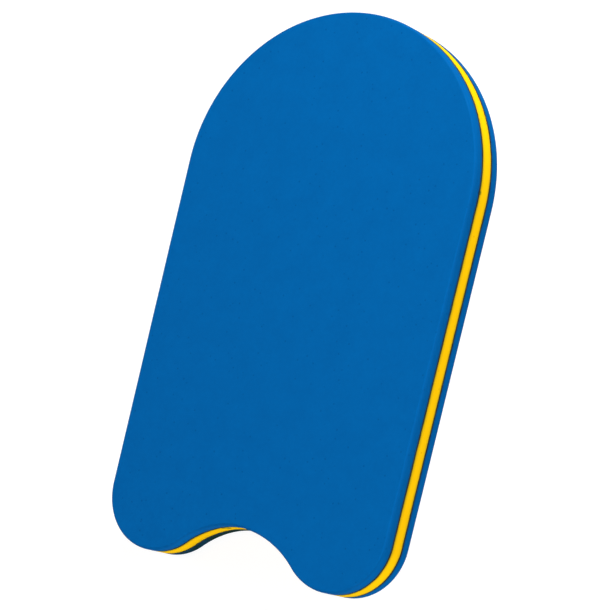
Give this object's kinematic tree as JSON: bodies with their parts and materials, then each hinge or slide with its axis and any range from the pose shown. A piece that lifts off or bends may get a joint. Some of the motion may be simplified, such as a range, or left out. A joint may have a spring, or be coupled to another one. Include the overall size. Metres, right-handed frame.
{
  "type": "kickboard float",
  "caption": "Flat laminated foam swimming board with a semicircular nose, straight sides and a rounded, notched tail, held out in front to keep a swimmer afloat.",
  "frame": {"origin": "under the middle of the board's box, on the surface that the back face lies on", "axes": "+Z out of the front face, +Y towards the round nose, -Y towards the notched tail, +X to the right seen from the front"},
  "size_m": [0.29, 0.4826, 0.0381],
  "materials": {
    "blue_foam": "matte",
    "yellow_foam": "matte",
    "bond_film": "satin"
  },
  "bodies": {
    "root": {"back_foam_sheet": "blue_foam", "back_bond_film": "bond_film", "core_foam_sheet": "yellow_foam", "front_bond_film": "bond_film", "front_foam_sheet": "blue_foam"}
  },
  "joints": []
}
